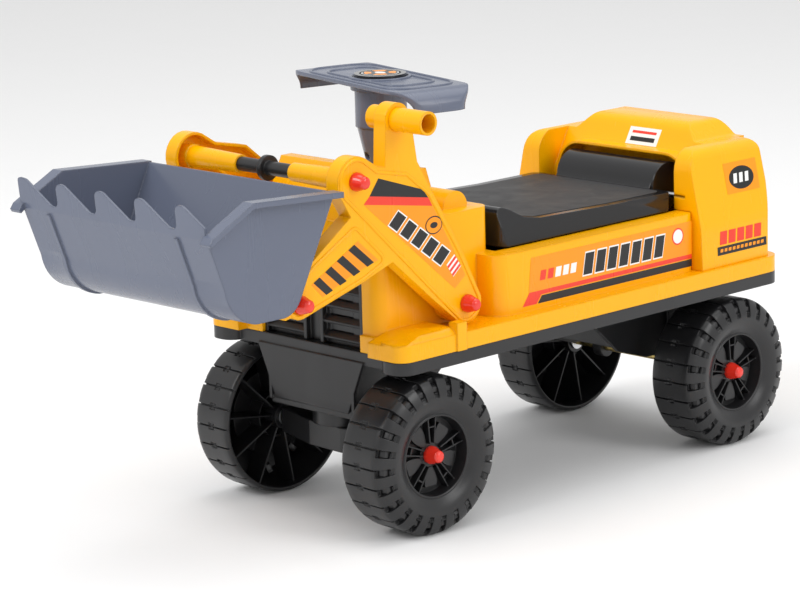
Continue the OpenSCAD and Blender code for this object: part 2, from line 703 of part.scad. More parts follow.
// Sheer line of the side wall: low at the lip, high from the kink to the back.
module above_sheer() polygon([[-300, 318], [-285, 334], [-236, 359], [-110, 352.5], [-110, 400],
  [-300, 400]]);
module sheer_flange() polygon([[-291, 333], [-287, 338.5], [-237, 364], [-125, 358], [-125, 352.5],
  [-236, 358.5], [-284, 333.5], [-289, 330]]);

// The toothed lip: each tooth has a steep side and a long slope, with rounded tips and valleys.
tooth_pitch = 57.5;
tooth_x = -137;
valley_z = 341;
tip_z = 365;
lip_corners = [for (i = [0:4], c = [[0, valley_z], [1, tip_z], [13, tip_z - 1], [47, valley_z]])
  [tooth_x + i * tooth_pitch + c.x, c.y]];
lip_radii = [for (i = [0:4]) each [i == 0 ? 0 : 5.5, i == 0 ? 4 : 7, 12, 9]];
lip = rounded(concat([[-170, valley_z]], lip_corners, [[160, 338], [160, 400], [-170, 400]]),
  concat([0], lip_radii, [0, 0, 0]));

module bucket_shell() difference() {
  union() {
    difference() {
      union() {
        side_on(-bucket_x, bucket_w) scoop_wall();
        // the first tooth reaches out over the end of the rim
        side_on(-bucket_x - 4.6, 6) intersection() {
          scoop_wall();
          translate([-300, 334]) square([40, 60]);
        }
      }
      end_on(-300, 60) polygon(lip);
    }
    both_sides() difference() {
      side_on(bucket_x - 1, 2.8) scoop_side();
      side_on(bucket_x - 2, 6) above_sheer();
    }
    both_sides() side_on(bucket_x - 1, 14.5) sheer_flange();
    for (x = [-98, 88]) side_on(x, 5) difference() {
      polygon(scoop(-2.2));
      polygon(scoop(0.5));
      translate([-300, 332]) square([300, 100]);
      translate([-200, 200]) square([100, 150]);
    }
    // ears on the back that take the pins
    both_sides() side_on(97, 8) {
      translate(front_pin) circle(11);
      polygon([[-176, 252], [-154, 254.5], [-150, 318], [-170, 285]]);
    }
  }
  side_on(-bucket_x + 1.6, bucket_w - 3.2) intersection() {
    polygon(scoop(2.7));
    translate([-400, 200]) square([400, 160]);
  }
}

// Each arm's end turns in a round pocket in the corner of the bucket.
pocket_r = 30.5;
pocket_x = arm_x - 1.5;

module bucket() color("#67707f") from_axle() difference() {
  union() {
    bucket_shell();
    both_sides() intersection() {
      x_rod(pocket_x - 2.5, bucket_x - pocket_x + 2.5, pocket_r + 2.5, front_pin.x, front_pin.y);
      side_on(pocket_x - 3, 40) scoop_side();
    }
  }
  both_sides() x_rod(80, 40, pin_r + run_fit, front_pin.x, front_pin.y);
  both_sides() x_rod(pocket_x, bucket_x - 1 - pocket_x, pocket_r, front_pin.x, front_pin.y);
}

// ---- nodes ---------------------------------------------------------------

chassis();
body_shell();
front_grille();
rear_cab();
storage_box();
seat_lid();
seat_hinge_pin();
column_bush_lower();
column_bush_upper();
pivot_pins();
pivot_caps();
rear_axle();
rear_axle_washers();
rear_hub_caps();
wheel_rear_left();
wheel_rear_right();
wheel_front_left();
wheel_front_right();
front_axle_block();
front_axle();
front_axle_washers();
front_hub_caps();
pivot_collar();
front_link_clip();
steering_shaft();
drop_arm();
rear_link_clip();
steering_column();
column_screw();
steering_wheel();
horn_sounder();
horn_button();
steering_link();
left_arm();
right_arm();
grip_tube();
crossbar_sleeve();
crossbar_rod();
crossbar_caps();
bucket_pins();
bucket_pin_caps();
bucket();
shell_screws();
cab_screws();
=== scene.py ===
"""The looks of a ride on digger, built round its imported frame.

Lengths are in millimetres from the front axle's middle, on the ground, unless a name says otherwise:
+X is the digger's left, -Y its front and +Z up. placed() turns them into metres of the row frame.
"""

import json
import math

import bmesh
import bpy
import numpy as np
from mathutils import Matrix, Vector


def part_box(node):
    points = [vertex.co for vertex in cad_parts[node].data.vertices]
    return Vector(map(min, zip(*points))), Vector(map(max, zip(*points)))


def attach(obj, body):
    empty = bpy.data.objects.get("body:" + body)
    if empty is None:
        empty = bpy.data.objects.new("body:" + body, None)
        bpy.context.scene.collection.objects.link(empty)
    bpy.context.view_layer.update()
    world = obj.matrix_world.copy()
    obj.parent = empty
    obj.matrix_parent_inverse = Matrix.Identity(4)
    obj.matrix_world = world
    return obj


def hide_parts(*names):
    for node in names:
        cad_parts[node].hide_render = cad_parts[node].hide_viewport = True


bl_info = {
    "name": "Ride on digger",
    "version": (1, 0, 0),
    "blender": (4, 5, 0),
    "location": "View3D > Sidebar > Digger",
    "description": "Builds the looks of a ride on digger round its packed frame",
    "category": "Object",
}

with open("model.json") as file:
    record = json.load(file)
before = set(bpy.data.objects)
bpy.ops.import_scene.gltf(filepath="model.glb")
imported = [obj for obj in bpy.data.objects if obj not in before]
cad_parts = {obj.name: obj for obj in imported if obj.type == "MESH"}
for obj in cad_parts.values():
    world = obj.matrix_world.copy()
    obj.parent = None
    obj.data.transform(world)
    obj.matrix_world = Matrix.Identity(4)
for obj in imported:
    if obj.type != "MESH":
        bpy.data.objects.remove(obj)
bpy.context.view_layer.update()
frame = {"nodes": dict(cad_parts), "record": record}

MM = 0.001


def middle_of(node):
    """The middle of a CAD node's box at rest, in metres."""
    low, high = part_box(node)
    return (np.array(low) + np.array(high)) / 2


AXLE = middle_of("front_axle") * np.array([1, 1, 0])


def placed(points):
    """Millimetres from the front axle, as metres of the row frame."""
    return np.asarray(points, float) * MM + AXLE


# ---- sizes and colours that a user would change ---------------------------


class DiggerSizes(bpy.types.PropertyGroup):
    """Sizes of the looks."""

    tread_bars: bpy.props.IntProperty(
        name="Tread bars", description="Bars round one wheel", default=24, min=12, max=36
    )
    edge_round: bpy.props.FloatProperty(
        name="Edge rounding",
        description="Radius of the mouldings' edges in their shading",
        default=0.0022,
        unit="LENGTH",
    )
    camera_lens: bpy.props.FloatProperty(
        name="Lens",
        description="Focal length in millimetres",
        default=147.45,
        min=20,
        max=300,
    )


class DiggerColours(bpy.types.PropertyGroup):
    """Colours of the looks."""

    body: bpy.props.FloatVectorProperty(
        name="Body",
        description="Yellow mouldings",
        subtype="COLOR",
        default=(0.93, 0.43, 0.0),
        min=0,
        max=1,
    )
    grey: bpy.props.FloatVectorProperty(
        name="Grey",
        description="Bucket and steering wheel",
        subtype="COLOR",
        default=(0.115, 0.132, 0.185),
        min=0,
        max=1,
    )
    black: bpy.props.FloatVectorProperty(
        name="Black",
        description="Tray, seat and wheels",
        subtype="COLOR",
        default=(0.011, 0.011, 0.012),
        min=0,
        max=1,
    )
    red: bpy.props.FloatVectorProperty(
        name="Red",
        description="Push-on caps",
        subtype="COLOR",
        default=(0.78, 0.03, 0.015),
        min=0,
        max=1,
    )


# ---- materials -------------------------------------------------------------

GRAIN_DEPTH = 0.0002
COAT_ROUGHNESS = 0.08
SHINE_SPREAD = 0.15
EDGE_SAMPLES = 6


def new_group(name, inputs, outputs):
    """An empty shader node group with the sockets that are named."""
    group = bpy.data.node_groups.new(name, "ShaderNodeTree")
    for label, default in inputs:
        socket = group.interface.new_socket(label, in_out="INPUT", socket_type="NodeSocketFloat")
        socket.default_value = default
    for label in outputs:
        group.interface.new_socket(label, in_out="OUTPUT", socket_type="NodeSocketFloat")
    return group


def add_node(tree, kind, **values):
    """Adds a node and sets the inputs that are named, with spaces for underscores."""
    node = tree.nodes.new(kind)
    for name, value in values.items():
        node.inputs[name.replace("_", " ")].default_value = value
    return node


def moulded_skin_group():
    """Fine grain, broad patches and faint flow lines of a moulding, from object coordinates."""
    found = bpy.data.node_groups.get("moulded_skin")
    if found:
        return found
    inputs = [("Grain Scale", 900.0), ("Patch Scale", 9.0)]
    group = new_group("moulded_skin", inputs, ["Grain", "Patch", "Flow"])
    start = group.nodes.new("NodeGroupInput")
    end = group.nodes.new("NodeGroupOutput")
    place = group.nodes.new("ShaderNodeTexCoord")
    grain = add_node(group, "ShaderNodeTexNoise", Detail=3.0, Roughness=0.6)
    patch = add_node(group, "ShaderNodeTexNoise", Detail=2.0, Roughness=0.5)
    stretch = add_node(group, "ShaderNodeMapping", Scale=(6.0, 6.0, 0.8))
    flow = add_node(group, "ShaderNodeTexNoise", Scale=6.0, Detail=4.0, Roughness=0.55, Distortion=0.6)
    link = group.links.new
    link(place.outputs["Object"], grain.inputs["Vector"])
    link(place.outputs["Object"], patch.inputs["Vector"])
    link(place.outputs["Object"], stretch.inputs["Vector"])
    link(stretch.outputs["Vector"], flow.inputs["Vector"])
    link(start.outputs["Grain Scale"], grain.inputs["Scale"])
    link(start.outputs["Patch Scale"], patch.inputs["Scale"])
    link(grain.outputs["Fac"], end.inputs["Grain"])
    link(patch.outputs["Fac"], end.inputs["Patch"])
    link(flow.outputs["Fac"], end.inputs["Flow"])
    return group


def blend_colours(tree, mask, low, high):
    """A Mix node from colour low to colour high by the mask."""
    mix = tree.nodes.new("ShaderNodeMix")
    mix.data_type = "RGBA"
    mix.inputs["A"].default_value = (*low, 1)
    mix.inputs["B"].default_value = (*high, 1)
    tree.links.new(mask, mix.inputs["Factor"])
    return mix.outputs["Result"]


def spread(tree, value, low, high):
    """A Map Range node that spreads a noise value from low to high."""
    node = add_node(tree, "ShaderNodeMapRange", From_Min=0.3, From_Max=0.7, To_Min=low, To_Max=high)
    tree.links.new(value, node.inputs["Value"])
    return node.outputs["Result"]


def moulded(
    name, colour, rough, grain, metallic=0.0, coat=0.0, tint=0.08, grain_scale=900.0, edge=None, shine=0.5
):
    """A moulded or plated surface: faint patches in its colour, grain in the bump, edges shaded round."""
    found = bpy.data.materials.get(name + "_finish")
    if found:
        return found
    material = bpy.data.materials.new(name + "_finish")
    material.use_nodes = True
    tree = material.node_tree
    shader = tree.nodes["Principled BSDF"]
    skin = tree.nodes.new("ShaderNodeGroup")
    skin.node_tree = moulded_skin_group()
    skin.inputs["Grain Scale"].default_value = grain_scale
    dark = tuple(c * (1 - tint) for c in colour)
    light = tuple(min(1.0, c * (1 + tint)) for c in colour)
    tree.links.new(blend_colours(tree, skin.outputs["Patch"], dark, light), shader.inputs["Base Color"])
    uneven = spread(tree, skin.outputs["Flow"], rough * (1 - SHINE_SPREAD), rough * (1 + SHINE_SPREAD))
    tree.links.new(uneven, shader.inputs["Roughness"])
    bump = add_node(tree, "ShaderNodeBump", Strength=grain, Distance=GRAIN_DEPTH)
    tree.links.new(skin.outputs["Grain"], bump.inputs["Height"])
    edge = sizes().edge_round if edge is None else edge
    if edge:
        corner = add_node(tree, "ShaderNodeBevel", Radius=edge)
        corner.samples = EDGE_SAMPLES
        tree.links.new(corner.outputs["Normal"], bump.inputs["Normal"])
    tree.links.new(bump.outputs["Normal"], shader.inputs["Normal"])
    shader.inputs["Metallic"].default_value = metallic
    shader.inputs["Specular IOR Level"].default_value = shine
    shader.inputs["Coat Weight"].default_value = coat
    shader.inputs["Coat Roughness"].default_value = COAT_ROUGHNESS
    return material


def sizes():
    """The sizes in the sidebar."""
    return bpy.context.scene.digger_sizes


def colours():
    """The colours in the sidebar."""
    return bpy.context.scene.digger_colours


def body_yellow():
    return moulded("body_yellow", tuple(colours().body), 0.26, 0.08, tint=0.03, shine=0.3)


def grey_plastic():
    return moulded("grey_plastic", tuple(colours().grey), 0.26, 0.1, tint=0.04)


def tray_black():
    return moulded("tray_black", tuple(colours().black), 0.34, 0.2)


def wheel_black():
    return moulded("wheel_black", tuple(colours().black), 0.34, 0.2, edge=0.0012)


def seat_black():
    return moulded("seat_black", tuple(colours().black), 0.16, 0.06)


def seat_grain():
    return moulded("seat_grain", (0.02, 0.02, 0.021), 0.6, 1.0, tint=0.3, grain_scale=420.0, edge=0)


def gloss_black():
    return moulded("gloss_black", tuple(colours().black), 0.12, 0.02, coat=0.5, edge=0.0008)


def cap_red():
    return moulded("cap_red", tuple(colours().red), 0.2, 0.05, coat=0.3, edge=0.0006)


def axle_zinc():
    return moulded("axle_zinc", (0.72, 0.55, 0.2), 0.32, 0.1, metallic=1.0, tint=0.15, edge=0.0004)


def bright_zinc():
    return moulded("bright_zinc", (0.6, 0.61, 0.63), 0.3, 0.1, metallic=1.0, tint=0.1, edge=0.0004)


def brass_screw():
    return moulded("brass_screw", (0.7, 0.45, 0.16), 0.3, 0.1, metallic=1.0, edge=0.0003)


def natural_white():
    return moulded("natural_white", (0.75, 0.75, 0.7), 0.4, 0.1, edge=0.0004)


def printed_inks():
    """The four inks of the labels, in the order of their slots: orange, black, red and white."""
    inks = (
        ("orange", (0.95, 0.3, 0.0)),
        ("black", (0.012, 0.012, 0.012)),
        ("red", (0.8, 0.045, 0.02)),
        ("white", (0.85, 0.85, 0.83)),
    )
    return [moulded("label_" + name, ink, 0.3, 0.03, tint=0.02, edge=0, shine=0.4) for name, ink in inks]


SLOT_MATERIALS = {
    "body_yellow": body_yellow,
    "grey_plastic": grey_plastic,
    "black_plastic": tray_black,
    "seat_black": seat_black,
    "gloss_black": gloss_black,
    "wheel_black": wheel_black,
    "cap_red": cap_red,
    "axle_steel": axle_zinc,
    "zinc_steel": bright_zinc,
    "brass_screw": brass_screw,
    "white_plastic": natural_white,
}


class DIGGER_OT_cad_finishes(bpy.types.Operator):
    """Gives every CAD node the material of its slot in the record"""

    bl_idname = "digger.cad_finishes"
    bl_label = "CAD finishes"

    def execute(self, context):
        for part in frame["record"]["subparts"]:
            node = frame["nodes"][part["node"]]
            node.data.materials.clear()
            node.data.materials.append(SLOT_MATERIALS[part["material_slot"]]())
        return {"FINISHED"}


# ---- surfaces ----------------------------------------------------------------


class Shape:
    """Collects the grids and tubes of one piece, in millimetres, and makes one mesh of them."""

    def __init__(self):
        self.points = []
        self.faces = []
        self.slots = []
        self.count = 0

    def add(self, points, faces, slot=0):
        """Adds a block of points and its faces, each a row of the block's own point numbers."""
        points = np.asarray(points, float).reshape(-1, 3)
        self.points.append(points)
        shifted = [tuple(int(i) + self.count for i in face) for face in faces]
        self.faces += shifted
        self.slots += [slot] * len(shifted)
        self.count += len(points)

    def grid(self, surface, wrap_rows=False, wrap_columns=False, slot=0):
        """Adds a surface given as rows x columns x 3; a wrapped direction closes on itself."""
        rows, columns = surface.shape[:2]
        index = np.arange(rows * columns).reshape(rows, columns)
        if wrap_rows:
            index = np.vstack([index, index[:1]])
        if wrap_columns:
            index = np.hstack([index, index[:, :1]])
        quads = np.stack([index[:-1, :-1], index[:-1, 1:], index[1:, 1:], index[1:, :-1]], -1)
        self.add(surface, quads.reshape(-1, 4), slot)

    def tube(self, rings, slot=0):
        """Adds closed rings joined into a skin, with a flat face on the first and the last."""
        self.grid(rings, wrap_columns=True, slot=slot)
        start = self.count - rings.shape[0] * rings.shape[1]
        first = list(range(start, start + rings.shape[1]))
        last = list(range(self.count - rings.shape[1], self.count))
        self.faces += [tuple(first[::-1]), tuple(last)]
        self.slots += [slot] * 2

    def outward(self, mesh):
        """Turns the faces of every closed shell outwards."""
        shell = bmesh.new()
        shell.from_mesh(mesh)
        bmesh.ops.recalc_face_normals(shell, faces=shell.faces)
        shell.to_mesh(mesh)
        shell.free()

    def finish(self, name, body, slot, materials, replaces=(), sharp=35, outward=False):
        """Makes the object, rides it on its body and hides the CAD nodes it stands for."""
        mesh = bpy.data.meshes.new(name)
        mesh.from_pydata(placed(np.vstack(self.points)).tolist(), [], self.faces)
        for material in materials:
            mesh.materials.append(material)
        mesh.polygons.foreach_set("material_index", self.slots)
        if outward:
            self.outward(mesh)
        mesh.shade_smooth()
        mesh.set_sharp_from_angle(angle=math.radians(sharp))
        mesh.validate()
        piece = bpy.data.objects.new(name, mesh)
        bpy.context.scene.collection.objects.link(piece)
        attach(piece, body)
        if replaces:
            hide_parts(*replaces)
        return piece


def rounded(corners, radii, steps=5):
    """A closed outline whose corners are arcs: each arc touches both edges at radius * tan(turn / 2)."""
    corners = np.asarray(corners, float)
    radii = np.broadcast_to(radii, len(corners))
    before, after = np.roll(corners, 1, 0) - corners, np.roll(corners, -1, 0) - corners
    length_before, length_after = np.linalg.norm(before, axis=1), np.linalg.norm(after, axis=1)
    before, after = before / length_before[:, None], after / length_after[:, None]
    half = np.arccos(np.clip((before * after).sum(1), -0.9999, 0.9999)) / 2
    reach = np.minimum(radii / np.tan(half), 0.49 * np.minimum(length_before, length_after))
    radius = reach * np.tan(half)
    middle = before + after
    middle /= np.linalg.norm(middle, axis=1)[:, None]
    centre = corners + middle * (radius / np.sin(half))[:, None]
    start = corners + before * reach[:, None] - centre
    end = corners + after * reach[:, None] - centre
    t = np.linspace(0, 1, steps + 1)[None, :, None]
    angle = (math.pi - 2 * half)[:, None, None]
    safe = np.maximum(np.sin(angle), 1e-6)
    turned = (np.sin((1 - t) * angle) * start[:, None] + np.sin(t * angle) * end[:, None]) / safe
    return (centre[:, None] + turned).reshape(-1, 2)


def turned(flat, angle):
    """Each [x, y] turned about the origin by an angle: x cos - y sin and x sin + y cos."""
    c, s = math.cos(angle), math.sin(angle)
    return np.column_stack([flat[:, 0] * c - flat[:, 1] * s, flat[:, 0] * s + flat[:, 1] * c])


def inset(outline, distance):
    """A closed outline moved inwards by a distance along its points' normals."""
    before, after = outline - np.roll(outline, 1, 0), np.roll(outline, -1, 0) - outline
    before /= np.maximum(np.linalg.norm(before, axis=1), 1e-9)[:, None]
    after /= np.maximum(np.linalg.norm(after, axis=1), 1e-9)[:, None]
    along = before + after
    along /= np.maximum(np.linalg.norm(along, axis=1), 1e-9)[:, None]
    x, y = outline.T
    area = (x * np.roll(y, -1) - y * np.roll(x, -1)).sum()
    normal = np.stack([-along[:, 1], along[:, 0]], 1) * np.sign(area)
    stretch = 1 / np.maximum((before * along).sum(1), 0.5)
    return outline + normal * (distance * stretch)[:, None]


# ---- wheels ------------------------------------------------------------------

WHEELBASE = float((middle_of("rear_axle") - middle_of("front_axle"))[1] / MM)
WHEEL_RADIUS = 79
INNER_FACE = 88.7
STEER = math.radians(-3)
HUB_RADIUS = 13
RIM_RADIUS = 39.4
RIM_FLOOR = 37
AXLE_BORE = 4.1

# inner radius, outer radius, low, high, with the levels counted from the inner face
HUB_SLEEVES = ((AXLE_BORE, HUB_RADIUS, 3, 42), (HUB_RADIUS + 9, HUB_RADIUS + 10.5, 16, 34))
SPOKE_LEVELS = (36, 46)
SPOKE_SPREAD = 0.09
SPOKE_SHIFT = 1.6
RUNG_REACH = (27.5, 29)
RUNG_LEVELS = (36, 45.4)
LEAF_LEVELS = (38, 42.5)
RIB_LEVELS = (9, 35)
RIB_END = 74

GROOVE_DEPTH = 2.4
SLOT_DEPTH = 1.6
NOTCH_DEPTH = 4.2
HOOK_DEPTH = 2.2
NOTCH_END = 0.345
# distance from the inner face and half width
SLOTS = ((21, 0.9), (24.9, 0.6), (28.2, 0.9))

# places across one bar's pitch, 0 to 1, close together at each edge of a cut
PITCH_SAMPLES = (
    0, 0.028, 0.05, 0.13, 0.155, 0.18, 0.3, 0.335, 0.37, 0.5, 0.64, 0.76, 0.82, 0.845, 0.87, 0.95, 0.972,
)

# [distance from the inner face, radius]: the hollow side, the tread, its shoulder, then the wall
# down to the rim's floor
HOLLOW = (
    (33.5, HUB_RADIUS), (33.5, 43), (49, 43.2), (53, 49), (54.8, 60), (54, 70), (49, 73.2),
    (4, 73.6), (0.6, 74),
)
TREAD = (
    (0, 75), (0.6, 77), (2.2, 78.4), (5, 79), (12, 79), (19, 79), (20, 79), (21.4, 79), (22.4, 79),
    (24.4, 79), (25.4, 79), (27.4, 79), (28.4, 79), (29.6, 79), (38, 79), (44, 79), (46.6, 78.8),
    (48.6, 78.2),
)
SHOULDER = (
    (50.4, 77.2), (52, 75.8), (53.4, 74), (54.6, 71.8), (55.6, 69.2), (56.4, 66.6), (57, 64.4),
    (57.4, 62.8), (57.7, 61.2), (57.9, 59),
)
WALL = (
    (57.8, 56.5), (57.2, 53.5), (56.2, 50.4), (54.8, 47.4), (53.2, 44.8), (52, 43), (51.7, 42.2),
    (52.5, 41.6), (52.6, 40.6), (52, 39.7), (50.5, RIM_RADIUS), (RIM_FLOOR + 1, 39.2),
    (RIM_FLOOR, 38.6), (RIM_FLOOR, 26), (RIM_FLOOR, HUB_RADIUS),
)


def tread_depth(along, radius, pitch):
    """How deep the surface is cut, by distance from the inner face, radius and place in the pitch.

    A thin groove crosses the tread at pitch 0, three short slots lie across it in mid tread, and on the
    shoulder the groove widens to a notch that ends in a hook on the wall. The deepest cut is taken.
    """
    near = np.minimum(pitch, 1 - pitch)
    groove = (near < 0.035) * (along > 1) * (radius > 75)
    slot_rows = np.logical_or.reduce([np.abs(along - middle) < half for middle, half in SLOTS])
    slots = slot_rows * (near < 0.16) * (radius > 78)
    notch = (pitch < NOTCH_END) * (along > 49.5) * (radius > 66)
    hook = ((pitch < 0.04) | (pitch > 0.96)) * (radius > 60.5) * (radius <= 67) * (along > 50)
    foot = (pitch < NOTCH_END) * (radius > 61) * (radius < 64) * (along > 50)
    return np.maximum.reduce(
        [GROOVE_DEPTH * groove, SLOT_DEPTH * slots, NOTCH_DEPTH * notch, HOOK_DEPTH * (hook | foot)]
    )


def wheel_surface(bars):
    """A surface of revolution: the section turned once round, cut along its normal by tread_depth()."""
    section = np.array(HOLLOW + TREAD + SHOULDER + WALL)
    pitch = np.tile(PITCH_SAMPLES, bars)
    turn = (np.repeat(np.arange(bars), len(PITCH_SAMPLES)) + pitch) * 2 * math.pi / bars
    tangent = np.gradient(section, axis=0)
    normal = np.stack([tangent[:, 1], -tangent[:, 0]], 1)
    normal /= np.linalg.norm(normal, axis=1)[:, None]
    cut = tread_depth(section[:, :1], section[:, 1:], pitch[None])
    cut[: len(HOLLOW)] = 0
    cut[len(HOLLOW) + len(TREAD) + len(SHOULDER) :] = 0
    along = section[:, :1] + normal[:, :1] * cut
    radius = section[:, 1:] + normal[:, 1:] * cut
    return np.stack([along, radius * np.cos(turn), radius * np.sin(turn)], -1)


def flat_plate(shape, flat, low, high):
    """An outline square to the axle, carried from one level to another."""
    shape.tube(np.stack([np.column_stack([np.full(len(flat), level), flat]) for level in (low, high)]))


def radial_plate(shape, turn, near, far, half, low, high, rise=0.0):
    """A plate along a radius, from near to far and half a width to each side, between two levels."""
    ring = np.array([(near, rise - half), (far, rise - half), (far, rise + half), (near, rise + half)])
    flat_plate(shape, turned(ring, turn), low, high)


def leaf(shape, turn, low, high):
    """A leaf-shaped plate: its half width grows as a sine from the hub and ends square."""
    t = np.linspace(0, 1, 7)
    reach = 12 + 20 * t
    half = 2.5 + 5.5 * np.sin(t * math.pi * 0.62)
    ring = np.concatenate([np.stack([reach, -half], 1), np.stack([reach, half], 1)[::-1]])
    flat_plate(shape, turned(ring, turn), low, high)


def hub_ring(shape, inner, outer, low, high):
    """A round sleeve: a rectangle turned once round the axle."""
    turn = np.linspace(0, 2 * math.pi, 48, endpoint=False)
    section = np.array([(low, inner), (high, inner), (high, outer), (low, outer)])
    along = np.broadcast_to(section[:, :1], (len(section), len(turn)))
    surface = np.stack([along, section[:, 1:] * np.cos(turn), section[:, 1:] * np.sin(turn)], -1)
    shape.grid(surface, wrap_rows=True, wrap_columns=True)


class DIGGER_OT_wheels(bpy.types.Operator):
    """Builds the four wheels: barred tread, hooked shoulders, dished rim and ladder spokes"""

    bl_idname = "digger.wheels"
    bl_label = "Wheels"

    spokes = 5

    def execute(self, context):
        for node, body, steered in (
            ("wheel_front_left", "front_left_wheel", True),
            ("wheel_front_right", "front_right_wheel", True),
            ("wheel_rear_left", "rear_left_wheel", False),
            ("wheel_rear_right", "rear_right_wheel", False),
        ):
            self.build(node, body, steered)
        return {"FINISHED"}

    def build(self, node, body, steered):
        shape = Shape()
        shape.grid(wheel_surface(sizes().tread_bars), wrap_columns=True)
        for sleeve in HUB_SLEEVES:
            hub_ring(shape, *sleeve)
        for k in range(self.spokes):
            turn = 2 * math.pi * k / self.spokes + math.pi / 2
            for side in (-1, 1):
                rail = turn + side * SPOKE_SPREAD
                reach = (HUB_RADIUS - 1, RIM_RADIUS + 0.3)
                radial_plate(shape, rail, *reach, 0.7, *SPOKE_LEVELS, rise=side * SPOKE_SHIFT)
            radial_plate(shape, turn, *RUNG_REACH, 3.9, *RUNG_LEVELS)
            leaf(shape, turn + math.pi / self.spokes, *LEAF_LEVELS)
        for k in range(2 * self.spokes):
            rib = math.pi * (k + 0.2) / self.spokes
            radial_plate(shape, rib, HUB_RADIUS - 1, RIB_END, 0.9, *RIB_LEVELS)
        self.place(shape, node, steered)
        shape.finish(node + "_looks", body, "wheel_black", [wheel_black()], [node])

    def place(self, shape, node, steered):
        """Stands the wheel on its axle: right wheels turn half round Z, and the front pair is steered."""
        points = np.vstack(shape.points)
        points[:, 0] += INNER_FACE
        if node.endswith("right"):
            points[:, :2] *= -1
        if steered:
            points[:, :2] = turned(points, STEER)
        else:
            points[:, 1] += WHEELBASE
        points[:, 2] += WHEEL_RADIUS
        shape.points = [points]


# ---- mouldings ---------------------------------------------------------------

MERGE_DISTANCE = 1e-5
FLAT_ANGLE = math.radians(0.6)
SMOOTH_ANGLE = math.radians(30)
EDGE_ANGLE = math.radians(32)
EDGE_WIDTH = 0.0018
NARROW_EDGES = {"bucket": 0.0009, "steering_wheel": 0.0014}


def moulding(node, body, material):
    """A copy of a CAD node with its triangles merged into whole faces and its arcs shaded smooth.

    The bevel's overlap limit holds it to a few hundredths of a millimetre on most nodes, so what looks
    round at an edge comes from the material.
    """
    name = node + "_looks"
    mesh = frame["nodes"][node].data.copy()
    mesh.name = name
    shell = bmesh.new()
    shell.from_mesh(mesh)
    bmesh.ops.remove_doubles(shell, verts=shell.verts, dist=MERGE_DISTANCE)
    bmesh.ops.dissolve_limit(shell, angle_limit=FLAT_ANGLE, verts=shell.verts, edges=shell.edges)
    for face in shell.faces:
        face.smooth = True
    shell.to_mesh(mesh)
    shell.free()
    mesh.materials.clear()
    mesh.materials.append(material)
    mesh.set_sharp_from_angle(angle=SMOOTH_ANGLE)
    piece = bpy.data.objects.new(name, mesh)
    bpy.context.scene.collection.objects.link(piece)
    edge = piece.modifiers.new("rounded_edges", "BEVEL")
    edge.width = NARROW_EDGES.get(node, EDGE_WIDTH)
    edge.segments = 3
    edge.limit_method = "ANGLE"
    edge.angle_limit = EDGE_ANGLE
    edge.harden_normals = False
    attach(piece, body)
    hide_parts(node)
    return piece


MOULDINGS = (
    ("chassis", "frame", "black_plastic", tray_black),
    ("body_shell", "frame", "body_yellow", body_yellow),
    ("rear_cab", "frame", "body_yellow", body_yellow),
    ("left_arm", "loader", "body_yellow", body_yellow),
    ("right_arm", "loader", "body_yellow", body_yellow),
    ("bucket", "bucket", "grey_plastic", grey_plastic),
    ("steering_wheel", "steering", "grey_plastic", grey_plastic),
    ("steering_column", "steering", "grey_plastic", grey_plastic),
    ("seat_lid", "seat_lid", "seat_black", seat_black),
)


class DIGGER_OT_mouldings(bpy.types.Operator):
    """Gives the large mouldings smooth arcs and narrow bevels"""

    bl_idname = "digger.mouldings"
    bl_label = "Mouldings"

    def execute(self, context):
        for node, body, slot, material in MOULDINGS:
            moulding(node, body, material())
        return {"FINISHED"}


# ---- labels --------------------------------------------------------------------

ORANGE, BLACK, RED, WHITE = range(4)
# how far each layer of ink stands out, and how far its skirt reaches into the moulding
GROUND, SECOND, THIRD, FOURTH = 0.25, 0.4, 0.5, 0.6
SKIRT = -0.3

ARM_FACE = 124.0
SILL_FACE = 125.0
# [height, distance from the middle] of the cab's leaning side
CAB_LEAN = ((178.5, 137.0), (240.0, 134.0), (321.0, 116.0))
# [y, z] of the top of the hood's leaning face, and its direction down the slope
HOOD_TOP = (454.0, 340.0)
HOOD_SLOPE = (-0.504, -0.864)
COLUMN_Y = 65.0
BUTTON_TOP = float(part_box("horn_button")[1][2]) / MM

# [y, z] of the arms' printed panels: the upper one's stripes, its oval and plate, and the lower one
PANEL_TOP = [(-60, 359), (-2, 340)]
BLACK_FOOT = [(5.5, 331), (-72, 343.5)]
RED_FOOT = [(11, 322), (-80, 336.5)]
ORANGE_FOOT = [(54, 247), (39, 236)]
ARM_OVAL = (12, 303)
PLATE = [(28, 261), (39, 270), (48, 257), (37, 248)]
PLATE_DOWN = (9, -13)
LOWER_PANEL = [(-89, 303), (-63, 281), (-99, 271.5), (-136, 257), (-150, 271)]
LOWER_TOP = ((-150, 271), (-89, 303))
LOWER_FOOT = ((-136, 257), (-64, 281.2))


def on_side(face, side):
    """Carries [y, z] onto an upright side. With no face, x is the leaning cab's at that height."""

    def place(flat, lift):
        x = np.full(len(flat), face) if face else np.interp(flat[:, 1], *np.array(CAB_LEAN).T)
        return np.column_stack([side * (x + lift), flat])

    return place


def on_hood(flat, lift):
    """Carries [x, distance down the slope] onto the hood's leaning face, lifted along its normal."""
    y = HOOD_TOP[0] + flat[:, 1] * HOOD_SLOPE[0] + lift * HOOD_SLOPE[1]
    z = HOOD_TOP[1] + flat[:, 1] * HOOD_SLOPE[1] - lift * HOOD_SLOPE[0]
    return np.column_stack([flat[:, 0], y, z])


def on_button(flat, lift):
    """Carries [x, y] from the column's axis onto the horn button's top."""
    return np.column_stack([flat[:, 0], flat[:, 1] + COLUMN_Y, np.full(len(flat), BUTTON_TOP + lift)])


